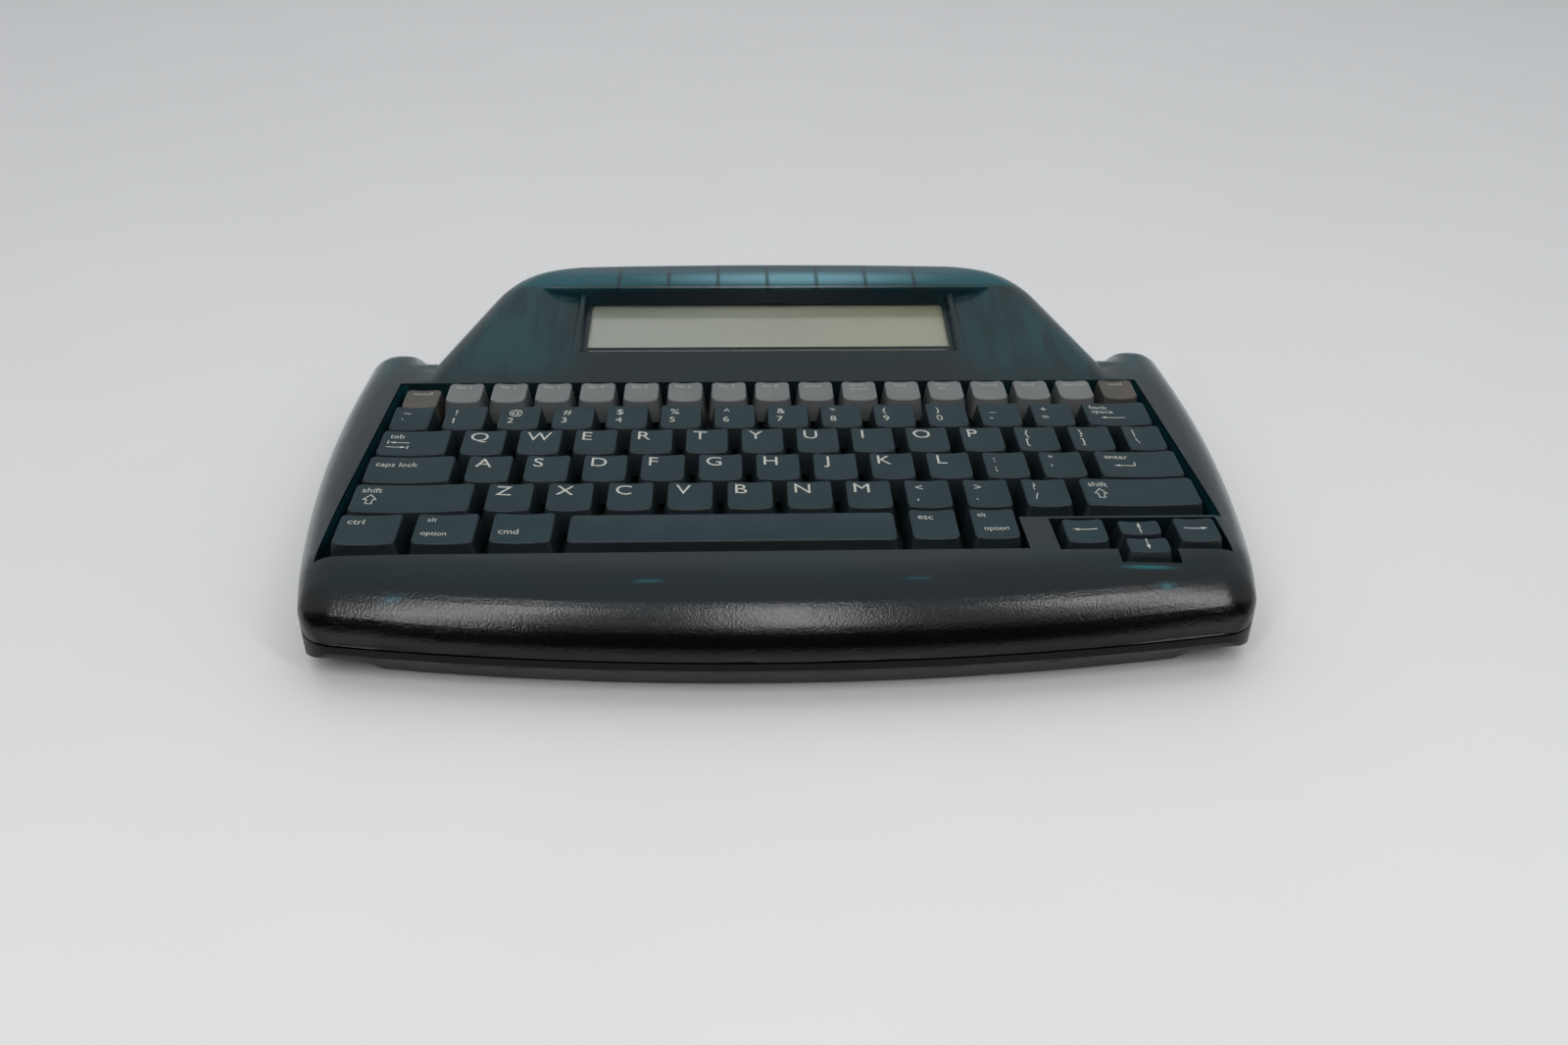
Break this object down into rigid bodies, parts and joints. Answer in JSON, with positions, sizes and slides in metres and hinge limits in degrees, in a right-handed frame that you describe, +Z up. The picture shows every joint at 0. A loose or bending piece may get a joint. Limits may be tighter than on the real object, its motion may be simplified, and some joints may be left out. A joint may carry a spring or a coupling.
{
  "type": "electronic word processor",
  "caption": "Portable word processor: a rounded slab with a full typing keyboard, arrow keys, a row of function keys and a wide low display sunk in a raised hood behind them.",
  "frame": {"origin": "centre of the footprint on the surface that the feet rest on", "axes": "+X to the right of the person typing, +Y away from them, +Z up"},
  "size_m": [0.316, 0.244, 0.05],
  "materials": {
    "case_plastic": "smoked translucent plastic, finely textured",
    "key_plastic": "fine matte moulded plastic",
    "function_key_plastic": "fine matte moulded plastic",
    "accent_key_plastic": "fine matte moulded plastic",
    "rubber": "moulded rubber",
    "steel": "plated steel",
    "bezel_steel": "folded sheet steel",
    "backplate_aluminium": "plain sheet",
    "board_green": "coated circuit board",
    "window_clear": "clear moulded window",
    "display_grey": "liquid crystal glass",
    "film": "polyester film",
    "cell_wrap": "plain printed wrap",
    "black_plastic": "moulded plastic"
  },
  "bodies": {
    "case": {"backup_coin_cell": "steel", "battery_cells": "cell_wrap", "battery_contacts": "steel", "board_chips": "black_plastic", "case_screws": "steel", "contact_membrane": "film", "display_bezel": "bezel_steel", "display_board": "board_green", "display_cable": "film", "display_panel": "display_grey", "display_window": "window_clear", "key_guide_plate": "black_plastic", "keyboard_backplate": "backplate_aluminium", "keyboard_cable": "film", "lower_case": "case_plastic", "main_board": "board_green", "round_sockets": "black_plastic", "rubber_dome_mat": "rubber", "rubber_feet": "rubber", "upper_case": "case_plastic", "usb_socket": "black_plastic"},
    "battery_door": {"battery_door": "case_plastic"},
    "key_alt_left": {"key_alt_left": "key_plastic"},
    "key_alt_right": {"key_alt_right": "key_plastic"},
    "key_arrow_down": {"key_arrow_down": "key_plastic"},
    "key_arrow_left": {"key_arrow_left": "key_plastic"},
    "key_arrow_right": {"key_arrow_right": "key_plastic"},
    "key_arrow_up": {"key_arrow_up": "key_plastic"},
    "key_backspace": {"key_backspace": "key_plastic"},
    "key_caps_lock": {"key_caps_lock": "key_plastic"},
    "key_cmd": {"key_cmd": "key_plastic"},
    "key_ctrl": {"key_ctrl": "key_plastic"},
    "key_enter": {"key_enter": "key_plastic"},
    "key_esc": {"key_esc": "key_plastic"},
    "key_on_off": {"key_on_off": "accent_key_plastic"},
    "key_send": {"key_send": "accent_key_plastic"},
    "key_shift_left": {"key_shift_left": "key_plastic"},
    "key_shift_right": {"key_shift_right": "key_plastic"},
    "key_space_bar": {"key_space_bar": "key_plastic", "space_bar_stabiliser": "steel"},
    "key_tab": {"key_tab": "key_plastic"},
    "keys_0_p_semicolon_slash": {"keys_0_p_semicolon_slash": "key_plastic"},
    "keys_1_q_a_z": {"keys_1_q_a_z": "key_plastic"},
    "keys_2_w_s_x": {"keys_2_w_s_x": "key_plastic"},
    "keys_3_e_d_c": {"keys_3_e_d_c": "key_plastic"},
    "keys_4_r_f_v": {"keys_4_r_f_v": "key_plastic"},
    "keys_5_t_g_b": {"keys_5_t_g_b": "key_plastic"},
    "keys_6_y_h_n": {"keys_6_y_h_n": "key_plastic"},
    "keys_7_u_j_m": {"keys_7_u_j_m": "key_plastic"},
    "keys_8_i_k_comma": {"keys_8_i_k_comma": "key_plastic"},
    "keys_9_o_l_period": {"keys_9_o_l_period": "key_plastic"},
    "keys_commands": {"keys_commands": "function_key_plastic"},
    "keys_files": {"keys_files": "function_key_plastic"},
    "keys_marks_right": {"keys_marks_right": "key_plastic"}
  },
  "joints": [
    {"name": "battery_door_hinge", "type": "hinge", "parent": "case", "child": "battery_door", "pos_m": [0, 0.06425, 0.0022], "axis": [-1, 0, 0], "range_deg": [0, 80]},
    {"name": "press_key_alt_left", "type": "slide", "parent": "case", "child": "key_alt_left", "axis": [0, 0, 1], "range_m": [-0.0033, 0], "stiffness_N_per_m": 170, "springref_m": 0.0015},
    {"name": "press_key_alt_right", "type": "slide", "parent": "case", "child": "key_alt_right", "axis": [0, 0, 1], "range_m": [-0.0033, 0], "stiffness_N_per_m": 170, "springref_m": 0.0015},
    {"name": "press_key_arrow_down", "type": "slide", "parent": "case", "child": "key_arrow_down", "axis": [0, 0, 1], "range_m": [-0.0033, 0], "stiffness_N_per_m": 170, "springref_m": 0.0015},
    {"name": "press_key_arrow_left", "type": "slide", "parent": "case", "child": "key_arrow_left", "axis": [0, 0, 1], "range_m": [-0.0033, 0], "stiffness_N_per_m": 170, "springref_m": 0.0015},
    {"name": "press_key_arrow_right", "type": "slide", "parent": "case", "child": "key_arrow_right", "axis": [0, 0, 1], "range_m": [-0.0033, 0], "stiffness_N_per_m": 170, "springref_m": 0.0015},
    {"name": "press_key_arrow_up", "type": "slide", "parent": "case", "child": "key_arrow_up", "axis": [0, 0, 1], "range_m": [-0.0033, 0], "stiffness_N_per_m": 170, "springref_m": 0.0015},
    {"name": "press_key_backspace", "type": "slide", "parent": "case", "child": "key_backspace", "axis": [0, 0, 1], "range_m": [-0.0033, 0], "stiffness_N_per_m": 170, "springref_m": 0.0015},
    {"name": "press_key_caps_lock", "type": "slide", "parent": "case", "child": "key_caps_lock", "axis": [0, 0, 1], "range_m": [-0.0033, 0], "stiffness_N_per_m": 170, "springref_m": 0.0015},
    {"name": "press_key_cmd", "type": "slide", "parent": "case", "child": "key_cmd", "axis": [0, 0, 1], "range_m": [-0.0033, 0], "stiffness_N_per_m": 170, "springref_m": 0.0015},
    {"name": "press_key_ctrl", "type": "slide", "parent": "case", "child": "key_ctrl", "axis": [0, 0, 1], "range_m": [-0.0033, 0], "stiffness_N_per_m": 170, "springref_m": 0.0015},
    {"name": "press_key_enter", "type": "slide", "parent": "case", "child": "key_enter", "axis": [0, 0, 1], "range_m": [-0.0033, 0], "stiffness_N_per_m": 170, "springref_m": 0.0015},
    {"name": "press_key_esc", "type": "slide", "parent": "case", "child": "key_esc", "axis": [0, 0, 1], "range_m": [-0.0033, 0], "stiffness_N_per_m": 170, "springref_m": 0.0015},
    {"name": "press_key_on_off", "type": "slide", "parent": "case", "child": "key_on_off", "axis": [0, 0, 1], "range_m": [-0.0033, 0], "stiffness_N_per_m": 170, "springref_m": 0.0015},
    {"name": "press_key_send", "type": "slide", "parent": "case", "child": "key_send", "axis": [0, 0, 1], "range_m": [-0.0033, 0], "stiffness_N_per_m": 170, "springref_m": 0.0015},
    {"name": "press_key_shift_left", "type": "slide", "parent": "case", "child": "key_shift_left", "axis": [0, 0, 1], "range_m": [-0.0033, 0], "stiffness_N_per_m": 170, "springref_m": 0.0015},
    {"name": "press_key_shift_right", "type": "slide", "parent": "case", "child": "key_shift_right", "axis": [0, 0, 1], "range_m": [-0.0033, 0], "stiffness_N_per_m": 170, "springref_m": 0.0015},
    {"name": "press_key_space_bar", "type": "slide", "parent": "case", "child": "key_space_bar", "axis": [0, 0, 1], "range_m": [-0.0033, 0], "stiffness_N_per_m": 170, "springref_m": 0.0015},
    {"name": "press_key_tab", "type": "slide", "parent": "case", "child": "key_tab", "axis": [0, 0, 1], "range_m": [-0.0033, 0], "stiffness_N_per_m": 170, "springref_m": 0.0015},
    {"name": "press_keys_0_p_semicolon_slash", "type": "slide", "parent": "case", "child": "keys_0_p_semicolon_slash", "axis": [0, 0, 1], "range_m": [-0.0033, 0], "stiffness_N_per_m": 170, "springref_m": 0.0015},
    {"name": "press_keys_1_q_a_z", "type": "slide", "parent": "case", "child": "keys_1_q_a_z", "axis": [0, 0, 1], "range_m": [-0.0033, 0], "stiffness_N_per_m": 170, "springref_m": 0.0015},
    {"name": "press_keys_2_w_s_x", "type": "slide", "parent": "case", "child": "keys_2_w_s_x", "axis": [0, 0, 1], "range_m": [-0.0033, 0], "stiffness_N_per_m": 170, "springref_m": 0.0015},
    {"name": "press_keys_3_e_d_c", "type": "slide", "parent": "case", "child": "keys_3_e_d_c", "axis": [0, 0, 1], "range_m": [-0.0033, 0], "stiffness_N_per_m": 170, "springref_m": 0.0015},
    {"name": "press_keys_4_r_f_v", "type": "slide", "parent": "case", "child": "keys_4_r_f_v", "axis": [0, 0, 1], "range_m": [-0.0033, 0], "stiffness_N_per_m": 170, "springref_m": 0.0015},
    {"name": "press_keys_5_t_g_b", "type": "slide", "parent": "case", "child": "keys_5_t_g_b", "axis": [0, 0, 1], "range_m": [-0.0033, 0], "stiffness_N_per_m": 170, "springref_m": 0.0015},
    {"name": "press_keys_6_y_h_n", "type": "slide", "parent": "case", "child": "keys_6_y_h_n", "axis": [0, 0, 1], "range_m": [-0.0033, 0], "stiffness_N_per_m": 170, "springref_m": 0.0015},
    {"name": "press_keys_7_u_j_m", "type": "slide", "parent": "case", "child": "keys_7_u_j_m", "axis": [0, 0, 1], "range_m": [-0.0033, 0], "stiffness_N_per_m": 170, "springref_m": 0.0015},
    {"name": "press_keys_8_i_k_comma", "type": "slide", "parent": "case", "child": "keys_8_i_k_comma", "axis": [0, 0, 1], "range_m": [-0.0033, 0], "stiffness_N_per_m": 170, "springref_m": 0.0015},
    {"name": "press_keys_9_o_l_period", "type": "slide", "parent": "case", "child": "keys_9_o_l_period", "axis": [0, 0, 1], "range_m": [-0.0033, 0], "stiffness_N_per_m": 170, "springref_m": 0.0015},
    {"name": "press_keys_commands", "type": "slide", "parent": "case", "child": "keys_commands", "axis": [0, 0, 1], "range_m": [-0.0033, 0], "stiffness_N_per_m": 170, "springref_m": 0.0015},
    {"name": "press_keys_files", "type": "slide", "parent": "case", "child": "keys_files", "axis": [0, 0, 1], "range_m": [-0.0033, 0], "stiffness_N_per_m": 170, "springref_m": 0.0015},
    {"name": "press_keys_marks_right", "type": "slide", "parent": "case", "child": "keys_marks_right", "axis": [0, 0, 1], "range_m": [-0.0033, 0], "stiffness_N_per_m": 170, "springref_m": 0.0015}
  ]
}
